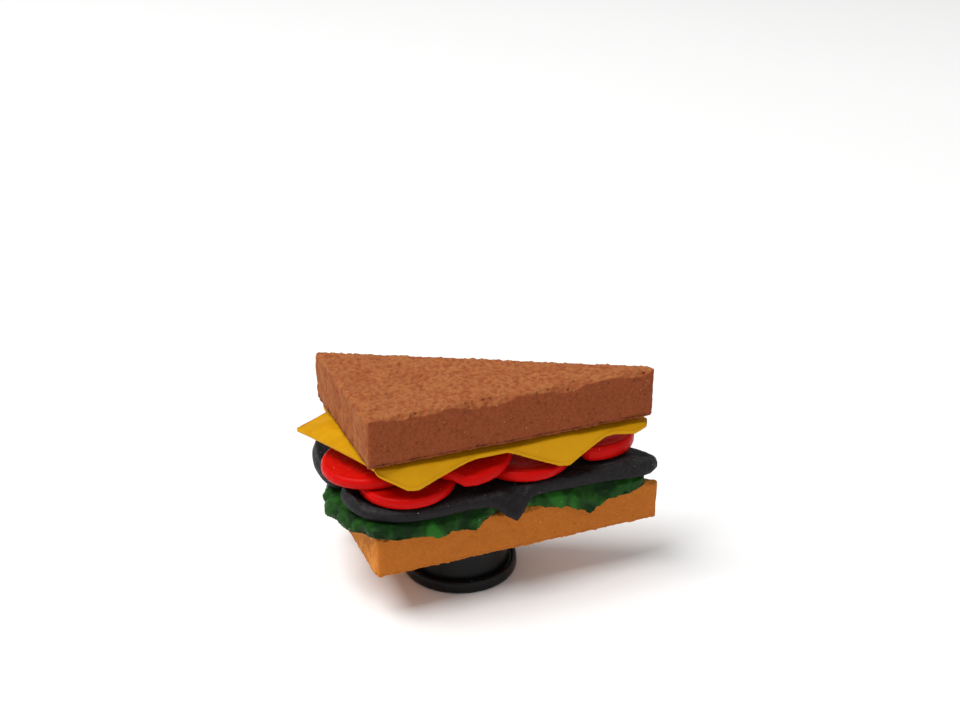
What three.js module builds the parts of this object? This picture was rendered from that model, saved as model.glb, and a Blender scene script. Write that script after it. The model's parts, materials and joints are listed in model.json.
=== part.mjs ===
// Toy sandwich charm: a small soft-plastic sandwich, cut corner to corner, on a push-in stud.
// Millimetres, +Z up. The origin is the centre of the stud's underside. The long cut edge of the
// bread runs along X and faces -Y, the short edge faces -X, and the slanting side is the back.
import * as THREE from "three";
import { mergeVertices } from "three/addons/utils/BufferGeometryUtils.js";

// ---- Driving dimensions -----------------------------------------------------------------
const STUD = {
  flangeR: 6.25, flangeH: 1.4, rimW: 0.4, grooveFloor: 0.95, neckR: 5.35, height: 5.0, chamfer: 0.3,
};
const LOWER_BREAD = {
  x: -11.75, y: -7.1, legX: 33.2, legY: 18.5, bottom: 5.0, top: 9.7,
  radii: { square: 0.7, sharp: 0.36, back: 0.5 }, arris: 0.28, wave: 0.05,
};
const UPPER_BREAD = {
  x: -12.15, y: -6.8, legX: 34.1, legY: 18.5, bottom: 17.45, top: 22.8,
  radii: { square: 0.36, sharp: 0.8, back: 0.36 }, arris: 0.22, wave: 0.07,
};
const LETTUCE = {
  x: -11.75, y: -7.1, legX: 31.1, legY: 17.35, radii: { square: 0.9, sharp: 0.45, back: 0.6 },
  bottom: 9.8, top: 11.05, rimT: 0.6, overhang: 0.85, rimZ: 9.3, leftOverhang: 2.3, backOverhang: 1.75,
};
const DARK = {
  bottom: 11.2, top: 12.35, leftRise: 0.2, midRise: 0.3, rightRise: 0.85, backRise: 0.5,
  tipX: 3.0, tipDrop: 2.1, endDrop: 0.8, edge: 0.35,
};
const TOMATO = { thickness: 1.25, edge: 0.26, dish: 0.12 };
const NEIGHBOUR_GAP = 0.15;
const CHEESE = {
  x: -12.0, y: -6.7, legX: 31.3, legY: 17.6, radii: { square: 1.4, sharp: 0.3, back: 0.8 },
  bottom: 16.45, thickness: 0.8, overhang: 0.25, backOverhang: 1.25, leftOverhang: -0.1, edge: 0.12,
  cornerPull: 0.8, pullWidth: 2.6,
};

// Detail of the faceted solids.
const CORNER_STEPS = 4;
const DISC_SIDES = 30;
const DARK_BACK_SIDES = 48;
const DARK_FRONT_SIDES = 72;
const STUD_SIDES = 40;

// ---- Materials ---------------------------------------------------------------------------
function plastic(color, roughness) {
  return new THREE.MeshStandardMaterial({ color, roughness, metalness: 0 });
}
const materials = {
  brown: plastic(0xa4603a, 0.75),
  tan: plastic(0xb06a30, 0.75),
  cheese: plastic(0xd09a18, 0.5),
  tomato: plastic(0xac1612, 0.35),
  dark: plastic(0x2b292b, 0.6),
  lettuce: plastic(0x24501c, 0.45),
  stud: plastic(0x171617, 0.3),
};

// ---- Small helpers -----------------------------------------------------------------------
const clamp01 = (v) => Math.min(1, Math.max(0, v));
const lerp = (a, b, t) => a + (b - a) * t;

function smoothstep(from, to, v) {
  const t = clamp01((v - from) / (to - from));
  return t * t * (3 - 2 * t);
}

// Distance from s to a place on a loop of the given length, with its sign.
function loopOffset(s, place, length) {
  const d = (((s - place) % length) + length) % length;
  return d > length / 2 ? d - length : d;
}

// A soft round bump, 1 at the middle.
function bump(offset, width) {
  return Math.exp(-((offset / width) ** 2));
}

// A corner, 1 at the tip and 0 past its two flanks: full on the one before, hollow on the one after.
const FULL_FLANK = 0.9;
const HOLLOW_FLANK = 1.15;
function tent(offset, before, after) {
  return offset < 0
    ? clamp01(1 + offset / before) ** FULL_FLANK : clamp01(1 - offset / after) ** HOLLOW_FLANK;
}

// Closes a stack of rings, each anticlockwise seen from above, between two middle points.
// The rings run outwards over the underside, up the rim and inwards over the top.
function closedSkin(bottomPole, rings, topPole) {
  const sides = rings[0].length;
  const vertices = [bottomPole, ...rings.flat(), topPole];
  const topIndex = vertices.length - 1;
  const at = (ring, side) => 1 + ring * sides + (side % sides);
  const index = [];
  for (let side = 0; side < sides; side++) {
    index.push(0, at(0, side + 1), at(0, side));
    for (let ring = 0; ring + 1 < rings.length; ring++) {
      index.push(at(ring, side), at(ring, side + 1), at(ring + 1, side + 1));
      index.push(at(ring, side), at(ring + 1, side + 1), at(ring + 1, side));
    }
    index.push(topIndex, at(rings.length - 1, side), at(rings.length - 1, side + 1));
  }
  const geometry = new THREE.BufferGeometry().setFromPoints(vertices);
  geometry.setIndex(index);
  return mergeVertices(geometry, 1e-5);
}

function solid(name, geometry, material) {
  geometry.computeVertexNormals();
  const mesh = new THREE.Mesh(geometry, material);
  mesh.name = name;
  return mesh;
}

// ---- The sandwich's outline --------------------------------------------------------------
// A right triangle with rounded corners, as points with outward normals and the distance s
// run from the square corner: along the front, then the slanting back, then the left side.
function triangleOutline({ x, y, legX, legY, radii }, stepLength) {
  const square = new THREE.Vector2(x, y);
  const sharp = new THREE.Vector2(x + legX, y);
  const back = new THREE.Vector2(x, y + legY);
  const corners = [
    { at: square, radius: radii.square },
    { at: sharp, radius: radii.sharp },
    { at: back, radius: radii.back },
  ];
  const sideNormals = corners.map((corner, i) => {
    const along = corners[(i + 1) % 3].at.clone().sub(corner.at).normalize();
    return new THREE.Vector2(along.y, -along.x);
  });
  const arcs = corners.map((corner, i) => {
    const before = sideNormals[(i + 2) % 3];
    const after = sideNormals[i];
    const inward = before.clone().add(after).multiplyScalar(-corner.radius / (1 + before.dot(after)));
    const centre = corner.at.clone().add(inward);
    const from = before.angle();
    const sweep = (after.angle() - from + 2 * Math.PI) % (2 * Math.PI);
    return Array.from({ length: CORNER_STEPS + 1 }, (_, k) => {
      const angle = from + (sweep * k) / CORNER_STEPS;
      const normal = new THREE.Vector2(Math.cos(angle), Math.sin(angle));
      return { point: centre.clone().addScaledVector(normal, corner.radius), normal };
    });
  });
  const samples = [];
  arcs.forEach((arc, i) => {
    samples.push(...arc);
    const start = arc.at(-1).point;
    const end = arcs[(i + 1) % 3][0].point;
    const steps = Math.max(1, Math.round(start.distanceTo(end) / stepLength));
    for (let k = 1; k < steps; k++) {
      samples.push({ point: start.clone().lerp(end, k / steps), normal: sideNormals[i] });
    }
  });
  let s = 0;
  samples.forEach((sample, i) => {
    if (i > 0) s += sample.point.distanceTo(samples[i - 1].point);
    sample.s = s;
  });
  const length = s + samples.at(-1).point.distanceTo(samples[0].point);
  return { samples, length, middle: new THREE.Vector2(x + legX / 3, y + legY / 3) };
}

// Gives each feature the distance s of the outline's sample nearest to the point it names.
function placed(outline, features) {
  return features.map((feature) => {
    const target = new THREE.Vector2(...feature.at);
    const nearest = outline.samples.reduce((best, sample) => (
      sample.point.distanceTo(target) < best.point.distanceTo(target) ? sample : best));
    return { ...feature, s: nearest.s };
  });
}

// One ring of an outline: moved out along its normals by out(sample), at height z(sample).
function outlineRing(outline, out, z) {
  return outline.samples.map((sample) => {
    const p = sample.point.clone().addScaledVector(sample.normal, out(sample));
    return new THREE.Vector3(p.x, p.y, z(sample));
  });
}

// A ring drawn in towards the outline's middle, for the flat faces.
function innerRing(outline, scale, z) {
  return outline.samples.map(({ point }) => {
    const p = outline.middle.clone().lerp(point, scale);
    return new THREE.Vector3(p.x, p.y, z);
  });
}

function pole(outline, z) {
  return new THREE.Vector3(outline.middle.x, outline.middle.y, z);
}

// ---- Stud: flange with a raised rim and a groove round its neck -----------------------------
function makeStud() {
  const { flangeR, flangeH, rimW, grooveFloor, neckR, height, chamfer } = STUD;
  const profile = [
    [0, 0], [flangeR - chamfer, 0], [flangeR, chamfer], [flangeR, flangeH - chamfer],
    [flangeR - 0.2, flangeH], [flangeR - rimW, flangeH], [flangeR - rimW - 0.15, grooveFloor],
    [neckR + 0.12, grooveFloor], [neckR, grooveFloor + 0.2], [neckR, height], [0, height],
  ].map(([r, z]) => new THREE.Vector2(r, z));
  const geometry = new THREE.LatheGeometry(profile, STUD_SIDES);
  geometry.rotateX(Math.PI / 2);
  geometry.deleteAttribute("normal");
  geometry.deleteAttribute("uv");
  return solid("stud", mergeVertices(geometry, 1e-4), materials.stud);
}

// ---- Bread: a triangular slab with rounded arrises and slightly wavy sides -------------------
function makeBread(name, size, material) {
  const outline = triangleOutline(size, 2.4);
  const { bottom, top, arris, wave } = size;
  const waviness = ({ s }) => wave * (Math.sin(s * 0.9) + Math.sin(s * 0.37 + 1)) / 2;
  const bevel = arris * (1 - Math.SQRT1_2);
  const rings = [
    innerRing(outline, 0.7, bottom),
    outlineRing(outline, (p) => waviness(p) - arris, () => bottom),
    outlineRing(outline, (p) => waviness(p) - bevel, () => bottom + bevel),
    outlineRing(outline, waviness, () => bottom + arris),
    outlineRing(outline, waviness, () => top - arris),
    outlineRing(outline, (p) => waviness(p) - bevel, () => top - bevel),
    outlineRing(outline, (p) => waviness(p) - arris, () => top),
    innerRing(outline, 0.7, top),
  ];
  return solid(name, closedSkin(pole(outline, bottom), rings, pole(outline, top)), material);
}

// ---- Lettuce: one leaf that rolls over the bread's edge in ruffles ---------------------------
// A ruffle sits at the place of the outline nearest to its point, drops by drop and stands out
// by out, and fades over its width on either side.
const LETTUCE_RUFFLES = [
  { at: [-11.7, -7.1], width: 1.6, drop: -0.75, out: 0.0 },
  { at: [-8.4, -7.1], width: 1.0, drop: -0.2, out: 0.1 },
  { at: [-4.4, -7.1], width: 1.2, drop: 0.35, out: 0.15 },
  { at: [-0.8, -7.1], width: 1.1, drop: 0.85, out: 0.2 },
  { at: [11.6, -7.1], width: 1.6, drop: 1.45, out: 0.1 },
  { at: [16.4, -7.1], width: 1.2, drop: 0.3, out: 0.0 },
  { at: [19.3, -7.0], width: 1.8, drop: -0.6, out: 0.0 },
  { at: [14.0, -4.1], width: 1.7, drop: 0.9, out: 0.2 },
  { at: [9.2, -1.4], width: 1.5, drop: 1.4, out: 0.25 },
  { at: [4.4, 1.3], width: 1.7, drop: 0.5, out: 0.1 },
  { at: [-0.6, 4.1], width: 1.6, drop: 1.2, out: 0.2 },
  { at: [-5.8, 7.0], width: 1.5, drop: 0.7, out: 0.3 },
  { at: [-11.7, 6.0], width: 1.4, drop: 0.5, out: 0.2 },
  { at: [-11.7, 1.0], width: 1.6, drop: 0.5, out: 0.6 },
  { at: [-11.7, -3.4], width: 1.1, drop: 0.2, out: 0.1 },
];
const LETTUCE_GAP = { at: [3.9, -7.1], width: 2.5 };     // the bare stretch under the dark tip

// How far along a filling's outline the back and the left side count, from 0 to 1.
const onBack = ({ normal }) => smoothstep(0.2, 0.6, normal.y);
const onLeft = ({ normal }) => smoothstep(0.6, 0.95, -normal.x);

function makeLettuce() {
  const outline = triangleOutline(LETTUCE, 1.2);
  const { bottom, top, rimT, overhang, rimZ, leftOverhang, backOverhang } = LETTUCE;
  const ruffles = placed(outline, LETTUCE_RUFFLES);
  const [bare] = placed(outline, [LETTUCE_GAP]);
  const gap = ({ s }) => bump(loopOffset(s, bare.s, outline.length), bare.width) ** 0.7;
  const ruffle = ({ s }, key) => ruffles.reduce(
    (sum, wave) => sum + wave[key] * bump(loopOffset(s, wave.s, outline.length), wave.width), 0);
  const leftReach = (p) => onLeft(p) * (1 - smoothstep(3, 7, p.point.y)) * smoothstep(-6, -2, p.point.y);
  const rim = (p) => lerp(
    overhang + ruffle(p, "out") + (leftOverhang - overhang) * leftReach(p)
      + (backOverhang - overhang) * onBack(p), -0.7, gap(p));
  const rimLow = (p) => lerp(rimZ - ruffle(p, "drop"), bottom, clamp01(gap(p) * 1.5));
  const shoulder = (p) => Math.min(0.25 + onBack(p), rim(p) - 0.35);
  const rings = [
    innerRing(outline, 0.6, bottom),
    innerRing(outline, 0.84, bottom),
    outlineRing(outline, shoulder, () => bottom),
    outlineRing(outline, rim, rimLow),
    outlineRing(outline, (p) => rim(p) + 0.02, (p) => rimLow(p) + rimT),
    outlineRing(outline, (p) => lerp(shoulder(p), rim(p), 0.7), (p) => lerp(rimLow(p) + rimT, top, 0.55)),
    outlineRing(outline, (p) => shoulder(p) - 0.25, () => top),
    innerRing(outline, 0.6, top),
  ];
  return solid("lettuce", closedSkin(pole(outline, bottom), rings, pole(outline, top)), materials.lettuce);
}

// ---- Slices: rounded slabs from a closed smooth outline --------------------------------------
// topAt and bottomAt give the two faces' heights; the rim is bevelled by edge.
function makeSlice(name, outlinePoints, middle, topAt, bottomAt, edge, material) {
  const centre = new THREE.Vector2(...middle);
  const ring = (inset, scale, zAt) => outlinePoints.map((point) => {
    const reach = point.clone().sub(centre);
    const p = centre.clone().addScaledVector(reach, scale * (1 - inset / reach.length()));
    return new THREE.Vector3(p.x, p.y, zAt(p.x, p.y));
  });
  const midAt = (share) => (x, y) => lerp(bottomAt(x, y), topAt(x, y), share);
  const rings = [
    ring(0, 0.5, bottomAt), ring(0, 0.82, bottomAt), ring(edge, 1, bottomAt),
    ring(0, 1, midAt(0.28)), ring(0, 1, midAt(0.72)),
    ring(edge, 1, topAt), ring(0, 0.82, topAt), ring(0, 0.5, topAt),
  ];
  const poleAt = (zAt) => new THREE.Vector3(centre.x, centre.y, zAt(centre.x, centre.y));
  return solid(name, closedSkin(poleAt(bottomAt), rings, poleAt(topAt)), material);
}

// ---- Dark slices: a short one at the back left and a long one along the front ----------------
function smoothLoop(points, sides) {
  const curve = new THREE.CatmullRomCurve3(
    points.map(([x, y]) => new THREE.Vector3(x, y, 0)), true, "centripetal");
  return curve.getSpacedPoints(sides).slice(0, sides).map((p) => new THREE.Vector2(p.x, p.y));
}
const DARK_BACK_LOOP = [
  [-12.6, 1.2], [-9.5, 2.5], [-6.0, 3.3], [-2.9, 5.2], [-2.4, 6.7], [-4.6, 8.5],
  [-8.6, 10.9], [-11.0, 11.7], [-13.0, 10.2], [-14.0, 7.4], [-14.15, 4.2], [-13.7, 2.0],
];
const DARK_FRONT_LOOP = [
  [-13.0, -0.1], [-13.5, -1.8], [-12.7, -5.0], [-10.2, -7.2], [-6.2, -8.0], [-2.4, -7.9],
  [0.8, -8.3], [DARK.tipX, -8.9], [5.2, -7.9], [9.5, -7.8], [14.0, -7.8], [18.6, -8.2],
  [20.0, -7.3], [20.35, -6.2], [19.3, -4.9], [15.5, -2.9], [10.4, -0.1], [5.4, 2.8],
  [0.6, 5.5], [-1.2, 5.4], [-4.9, 2.5], [-9.0, 0.6],
];

function makeDarkSlices() {
  const droop = (x, y) => DARK.tipDrop * bump(x - DARK.tipX, 1.9) * smoothstep(-7.4, -8.8, y);
  const rise = (x) => DARK.leftRise * smoothstep(-12.1, -12.9, x) + DARK.midRise * smoothstep(-1.2, 1.2, x)
    + (DARK.rightRise - DARK.midRise) * smoothstep(12.6, 14.5, x) - DARK.endDrop * smoothstep(17, 20.5, x);
  const bottomAt = (x, y) => DARK.bottom - droop(x, y);
  const topAt = (x, y) => DARK.top + rise(x) - droop(x, y);
  const backTop = () => DARK.top + DARK.backRise;
  return [
    makeSlice("dark_slice_back", smoothLoop(DARK_BACK_LOOP, DARK_BACK_SIDES), [-8.4, 6.4],
      backTop, () => DARK.bottom, DARK.edge, materials.dark),
    makeSlice("dark_slice_front", smoothLoop(DARK_FRONT_LOOP, DARK_FRONT_SIDES), [2.6, -3.2],
      topAt, bottomAt, DARK.edge, materials.dark),
  ];
}

// ---- Tomato slices: discs in two levels, cut where they meet a neighbour or the slanting back --
// bottom is the underside's height at the disc's middle, and tilt its rise for each millimetre of X.
// middle is a point inside the cut shape, where that isn't the disc's own middle. proud is how far
// the cut side stands out past the bread's slanting back, and leftStop the lowest X it may reach.
// sag is how far the front edge hangs down beside the slice numbered over, which lies below it.
// clearOf is the number of the slice that it stops short of. thickness is given where a slice is
// thicker than the rest.
const TOMATO_SLICES = [
  { x: -9.5, y: 0.35, rx: 5.35, ry: 5.3, bottom: 13.85, tilt: 0.045 },
  { x: -6.85, y: -2.8, rx: 5.15, ry: 5.1, bottom: 12.57, tilt: 0.02 },
  { x: -0.3, y: -1.6, rx: 5.3, ry: 6.1, bottom: 14.27, tilt: 0.05, sag: 0.7, over: 1, clearOf: 0 },
  { x: 6.2, y: -2.3, rx: 5.45, ry: 5.5, bottom: 12.84, tilt: 0.0, proud: 1.2 },
  { x: 14.15, y: -1.8, rx: 5.2, ry: 5.25, bottom: 13.3, tilt: 0.0, proud: 1.35, thickness: 1.75,
    middle: [14.3, -4.2], leftStop: 11.7 },
  { x: -6.5, y: 8.4, rx: 4.0, ry: 2.5, bottom: 13.0, tilt: 0.0, proud: 0.5, middle: [-6.9, 7.4] },
];

// How far a point is from a slice's middle, 1 on its rim. The margin widens the slice.
function discReach({ x, y, rx, ry }, place, margin = 0) {
  return Math.hypot((place.x - x) / (rx + margin), (place.y - y) / (ry + margin));
}

// Shortens a reach from a point along a ray until it ends clear of another slice.
function stopShort(from, ray, reach, disc) {
  let end = reach;
  while (end > 0 && discReach(disc, from.clone().addScaledVector(ray, end), NEIGHBOUR_GAP) < 1) end -= 0.05;
  return end;
}

function tomatoOutline({ x, y, rx, ry, middle = [x, y], proud = Infinity, leftStop = -Infinity, clearOf }) {
  const from = new THREE.Vector2(...middle);
  const offset = new THREE.Vector2((from.x - x) / rx, (from.y - y) / ry);
  const backNormal = new THREE.Vector2(LOWER_BREAD.legY, LOWER_BREAD.legX).normalize();
  const backLine = backNormal.dot(new THREE.Vector2(LOWER_BREAD.x, LOWER_BREAD.y + LOWER_BREAD.legY));
  return Array.from({ length: DISC_SIDES }, (_, k) => {
    const angle = (2 * Math.PI * k) / DISC_SIDES;
    const ray = new THREE.Vector2(Math.cos(angle), Math.sin(angle));
    const scaled = new THREE.Vector2(ray.x / rx, ray.y / ry);
    const along = scaled.dot(offset) / scaled.lengthSq();
    const toDisc = Math.sqrt(along ** 2 + (1 - offset.lengthSq()) / scaled.lengthSq()) - along;
    const backward = ray.dot(backNormal);
    const toBack = backward > 0 ? (backLine + proud - from.dot(backNormal)) / backward : Infinity;
    const toLeft = ray.x < 0 ? (leftStop - from.x) / ray.x : Infinity;
    const wobble = 1 - 0.01 * (1 - Math.cos(3 * angle + x));
    const reach = Math.min(toDisc * wobble, toBack, toLeft);
    const end = clearOf === undefined ? reach : stopShort(from, ray, reach, TOMATO_SLICES[clearOf]);
    return from.clone().addScaledVector(ray, end);
  });
}

function makeTomato(slice, i) {
  const sagAt = (x, y) => {
    if (!slice.sag) return 0;
    const outside = (discReach(TOMATO_SLICES[slice.over], { x, y }) - 1) * TOMATO_SLICES[slice.over].ry;
    const front = smoothstep(-4.2, -7.4, y);
    return slice.sag * smoothstep(0.1, 1.6, outside) * front * clamp01(1 - 0.12 * (x + 2.2));
  };
  const level = (x, y) => slice.bottom + slice.tilt * (x - slice.x) - sagAt(x, y);
  const dishAt = (x, y) => TOMATO.dish * (1 - smoothstep(0.5, 0.85, Math.hypot(
    (x - slice.x) / slice.rx, (y - slice.y) / slice.ry)));
  return makeSlice(`tomato_${i + 1}`, tomatoOutline(slice), slice.middle ?? [slice.x, slice.y],
    (x, y) => level(x, y) + (slice.thickness ?? TOMATO.thickness) - dishAt(x, y), level,
    TOMATO.edge, materials.tomato);
}

// ---- Cheese: one thin square slice whose corners hang out and down ---------------------------
// A corner sits at the place of the slice's base outline nearest to its point. Its flanks run
// for the distances before and after it, going round anticlockwise from above.
const CHEESE_CORNERS = [
  { at: [-8.0, -6.7], before: 2.8, after: 5.0, out: 0.9, drop: 1.68 },
  { at: [-6.9, -6.7], before: 4.5, after: 6.4, out: 0.95, drop: 1.74 },
  { at: [8.5, -6.7], before: 5.3, after: 5.4, out: 0.9, drop: 2.25 },
  { at: [9.7, -6.7], before: 6.2, after: 5.3, out: 0.95, drop: 2.33 },
  { at: [17.3, -6.7], before: 3.5, after: 2.2, out: 0.55, drop: 0.4 },
  { at: [9.0, -1.2], before: 5.5, after: 5.0, out: 0.9, drop: 1.7 },
  { at: [-5.6, 7.1], before: 4.0, after: 4.5, out: 0.5, drop: 1.3 },
  { at: [-12.0, 5.6], before: 2.1, after: 10.0, out: 4.0, drop: 0.15 },
];

function makeCheese() {
  const outline = triangleOutline(CHEESE, 1.1);
  const { bottom, thickness, overhang, backOverhang, leftOverhang, edge, cornerPull, pullWidth } = CHEESE;
  const squareCorner = new THREE.Vector2(CHEESE.x, CHEESE.y);
  const corners = placed(outline, CHEESE_CORNERS);
  const corner = ({ s }, key) => corners.reduce((most, fold) => Math.max(
    most, fold[key] * tent(loopOffset(s, fold.s, outline.length), fold.before, fold.after)), 0);
  const base = (p) => overhang + (leftOverhang - overhang) * onLeft(p)
    + (backOverhang - overhang) * onBack(p) * smoothstep(-11.5, -8, p.point.x)
    - cornerPull * bump(p.point.distanceTo(squareCorner), pullWidth);
  const rim = (p) => base(p) + corner(p, "out");
  const rimLow = (p) => bottom - corner(p, "drop");
  const bend = (p) => base(p) - 0.15;
  const rings = [
    innerRing(outline, 0.6, bottom),
    innerRing(outline, 0.88, bottom),
    outlineRing(outline, bend, () => bottom),
    outlineRing(outline, (p) => rim(p) - edge, rimLow),
    outlineRing(outline, rim, (p) => rimLow(p) + edge),
    outlineRing(outline, rim, (p) => rimLow(p) + thickness - edge),
    outlineRing(outline, (p) => rim(p) - edge, (p) => rimLow(p) + thickness),
    outlineRing(outline, bend, () => bottom + thickness),
    innerRing(outline, 0.88, bottom + thickness),
    innerRing(outline, 0.6, bottom + thickness),
  ];
  return solid("cheese", closedSkin(
    pole(outline, bottom), rings, pole(outline, bottom + thickness)), materials.cheese);
}

// ---- Assembly ----------------------------------------------------------------------------
const group = new THREE.Group();
group.add(makeStud());
group.add(makeBread("lower_bread", LOWER_BREAD, materials.tan));
group.add(makeLettuce());
group.add(...makeDarkSlices());
group.add(...TOMATO_SLICES.map(makeTomato));
group.add(makeCheese());
group.add(makeBread("upper_bread", UPPER_BREAD, materials.brown));

export default group;
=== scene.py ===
import json
import math

import bmesh
import bpy
import numpy as np
from mathutils import Euler, Matrix, Vector
from mathutils.kdtree import KDTree

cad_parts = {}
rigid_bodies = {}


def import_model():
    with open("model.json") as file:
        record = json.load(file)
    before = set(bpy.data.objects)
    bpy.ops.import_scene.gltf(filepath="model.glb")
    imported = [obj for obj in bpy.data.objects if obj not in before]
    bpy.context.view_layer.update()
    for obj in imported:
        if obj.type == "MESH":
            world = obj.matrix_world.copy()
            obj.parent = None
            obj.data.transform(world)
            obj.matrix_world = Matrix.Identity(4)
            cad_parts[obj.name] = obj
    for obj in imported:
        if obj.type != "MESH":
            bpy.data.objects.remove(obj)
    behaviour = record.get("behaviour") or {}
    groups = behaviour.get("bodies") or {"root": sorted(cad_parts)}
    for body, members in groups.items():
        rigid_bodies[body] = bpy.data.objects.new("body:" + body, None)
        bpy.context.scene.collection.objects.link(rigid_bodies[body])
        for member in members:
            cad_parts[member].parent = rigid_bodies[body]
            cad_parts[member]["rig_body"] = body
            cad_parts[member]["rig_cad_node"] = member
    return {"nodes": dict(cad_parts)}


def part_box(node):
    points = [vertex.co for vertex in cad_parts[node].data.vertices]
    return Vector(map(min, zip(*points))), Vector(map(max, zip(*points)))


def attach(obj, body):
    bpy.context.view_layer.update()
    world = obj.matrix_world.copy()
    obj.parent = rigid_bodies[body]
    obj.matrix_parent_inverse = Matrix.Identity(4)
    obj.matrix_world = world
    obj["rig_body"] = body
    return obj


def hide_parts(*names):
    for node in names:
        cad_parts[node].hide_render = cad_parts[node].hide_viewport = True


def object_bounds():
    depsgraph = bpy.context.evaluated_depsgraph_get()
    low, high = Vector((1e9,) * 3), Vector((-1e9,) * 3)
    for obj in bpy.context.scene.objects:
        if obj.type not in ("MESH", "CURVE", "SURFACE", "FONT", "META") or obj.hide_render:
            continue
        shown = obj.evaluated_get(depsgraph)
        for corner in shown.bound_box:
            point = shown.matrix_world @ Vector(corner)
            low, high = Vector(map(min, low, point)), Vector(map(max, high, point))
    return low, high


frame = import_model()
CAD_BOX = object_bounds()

bl_info = {
    "name": "Toy Sandwich Charm",
    "version": (1, 0, 0),
    "blender": (4, 5, 0),
    "location": "3D View > Sidebar > Sandwich",
    "description": "Builds a small plastic sandwich on a push-in stud",
    "category": "Add Mesh",
}

# Meshes are worked in millimetres, and a finished piece is scaled to metres.
TO_MM = 1000.0
TO_METRES = 0.001
ROOT = "root"
TOMATOES = [f"tomato_{i}" for i in range(1, 7)]

# Rounds of smoothing that take the facets off each kind of piece.
BREAD_ROUNDING, CHEESE_ROUNDING, TOMATO_ROUNDING, DARK_ROUNDING, LETTUCE_ROUNDING = 2, 6, 7, 6, 5
THIN_STEP = 0.1             # mesh step of the cheese and tomatoes, in millimetres
WEAR_DEPTH = 0.32           # depth of the rubbed flats on the breads' edges
TOMATO_SEEDS = 22
SEED_BAND = (1.5, 2.4)      # how far in from the rim the seeds lie
NECK_INSET = 0.9            # stud's neck inside its flange
PROFILE_INSET = 1.25        # circle that the stud's profile is turned on, inside its flange
FLOOR_HALF = 2.0            # half the floor's side, in metres
SENSOR_WIDTH = 36.0


# ---- Node trees ---------------------------------------------------------------------------

def add(tree, kind, inputs=None, **settings):
    """Adds a node; an input is a number, a colour or another node's output."""
    node = tree.nodes.new(kind)
    for key, value in settings.items():
        setattr(node, key, value)
    for key, value in (inputs or {}).items():
        if isinstance(value, bpy.types.NodeSocket):
            tree.links.new(value, node.inputs[key])
        else:
            node.inputs[key].default_value = value
    return node


def calc(tree, operation, a, b=0.0, clamp=False):
    return add(tree, "ShaderNodeMath", {0: a, 1: b}, operation=operation, use_clamp=clamp).outputs[0]


def ramp(tree, value, low, high, to_low=0.0, to_high=1.0):
    """Smooth change from to_low to to_high as value runs from low to high."""
    return add(tree, "ShaderNodeMapRange", {
        "Value": value, "From Min": low, "From Max": high, "To Min": to_low, "To Max": to_high,
    }, interpolation_type="SMOOTHSTEP").outputs["Result"]


def blend_colours(tree, factor, a, b):
    node = add(tree, "ShaderNodeMix", data_type="RGBA", blend_type="MIX")
    sockets = {"factor": node.inputs[0], "a": node.inputs[6], "b": node.inputs[7]}
    for key, value in (("factor", factor), ("a", a), ("b", b)):
        if isinstance(value, bpy.types.NodeSocket):
            tree.links.new(value, sockets[key])
        else:
            sockets[key].default_value = value
    return node.outputs[2]


def attribute(tree, name):
    return add(tree, "ShaderNodeAttribute", attribute_name=name).outputs["Fac"]


def noise(tree, place, scale, detail=3.0, roughness=0.5):
    return add(tree, "ShaderNodeTexNoise", {
        "Vector": place, "Scale": scale, "Detail": detail, "Roughness": roughness}).outputs[0]


def geometry_tree(name, sizes):
    """A geometry tree with a geometry input, the named sizes and a material input."""
    tree = bpy.data.node_groups.new(name, "GeometryNodeTree")
    face = tree.interface
    face.new_socket("Geometry", in_out="INPUT", socket_type="NodeSocketGeometry")
    for label, default in sizes.items():
        face.new_socket(label, in_out="INPUT", socket_type="NodeSocketFloat").default_value = default
    face.new_socket("Material", in_out="INPUT", socket_type="NodeSocketMaterial")
    face.new_socket("Geometry", in_out="OUTPUT", socket_type="NodeSocketGeometry")
    return tree, tree.nodes.new("NodeGroupInput").outputs


def close_tree(tree, geometry, given):
    """Ends a tree in Realize Instances and Set Material."""
    real = add(tree, "GeometryNodeRealizeInstances", {"Geometry": geometry}).outputs[0]
    painted = add(tree, "GeometryNodeSetMaterial", {"Geometry": real, "Material": given["Material"]})
    out = tree.nodes.new("NodeGroupOutput")
    tree.links.new(painted.outputs[0], out.inputs[0])
    return tree


def store(tree, geometry, name, value):
    return add(tree, "GeometryNodeStoreNamedAttribute", {
        "Geometry": geometry, "Name": name, "Value": value}, data_type="FLOAT", domain="POINT").outputs[0]


def move_along_normal(tree, geometry, distance):
    push = add(tree, "ShaderNodeVectorMath", {
        0: add(tree, "GeometryNodeInputNormal").outputs[0], "Scale": distance}, operation="SCALE").outputs[0]
    return add(tree, "GeometryNodeSetPosition", {"Geometry": geometry, "Offset": push}).outputs[0]


def run_tree(obj, tree, values):
    """Runs a geometry tree on an object and leaves a plain mesh."""
    modifier = obj.modifiers.new(tree.name, "NODES")
    modifier.node_group = tree
    for item in tree.interface.items_tree:
        if item.in_out == "INPUT" and item.name in values:
            modifier[item.identifier] = values[item.name]
    bake(obj)


def bake(obj):
    """Turns an object with its modifiers into a plain mesh."""
    bpy.context.view_layer.update()
    depsgraph = bpy.context.evaluated_depsgraph_get()
    mesh = bpy.data.meshes.new_from_object(
        obj.evaluated_get(depsgraph), preserve_all_data_layers=True, depsgraph=depsgraph)
    obj.modifiers.clear()
    obj.data = mesh


# ---- Mesh helpers -------------------------------------------------------------------------

def smooth(low, high, value):
    t = np.clip((value - low) / (high - low), 0.0, 1.0)
    return t * t * (3.0 - 2.0 * t)


def hump(offset, width):
    return np.exp(-(offset / width) ** 2)


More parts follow.
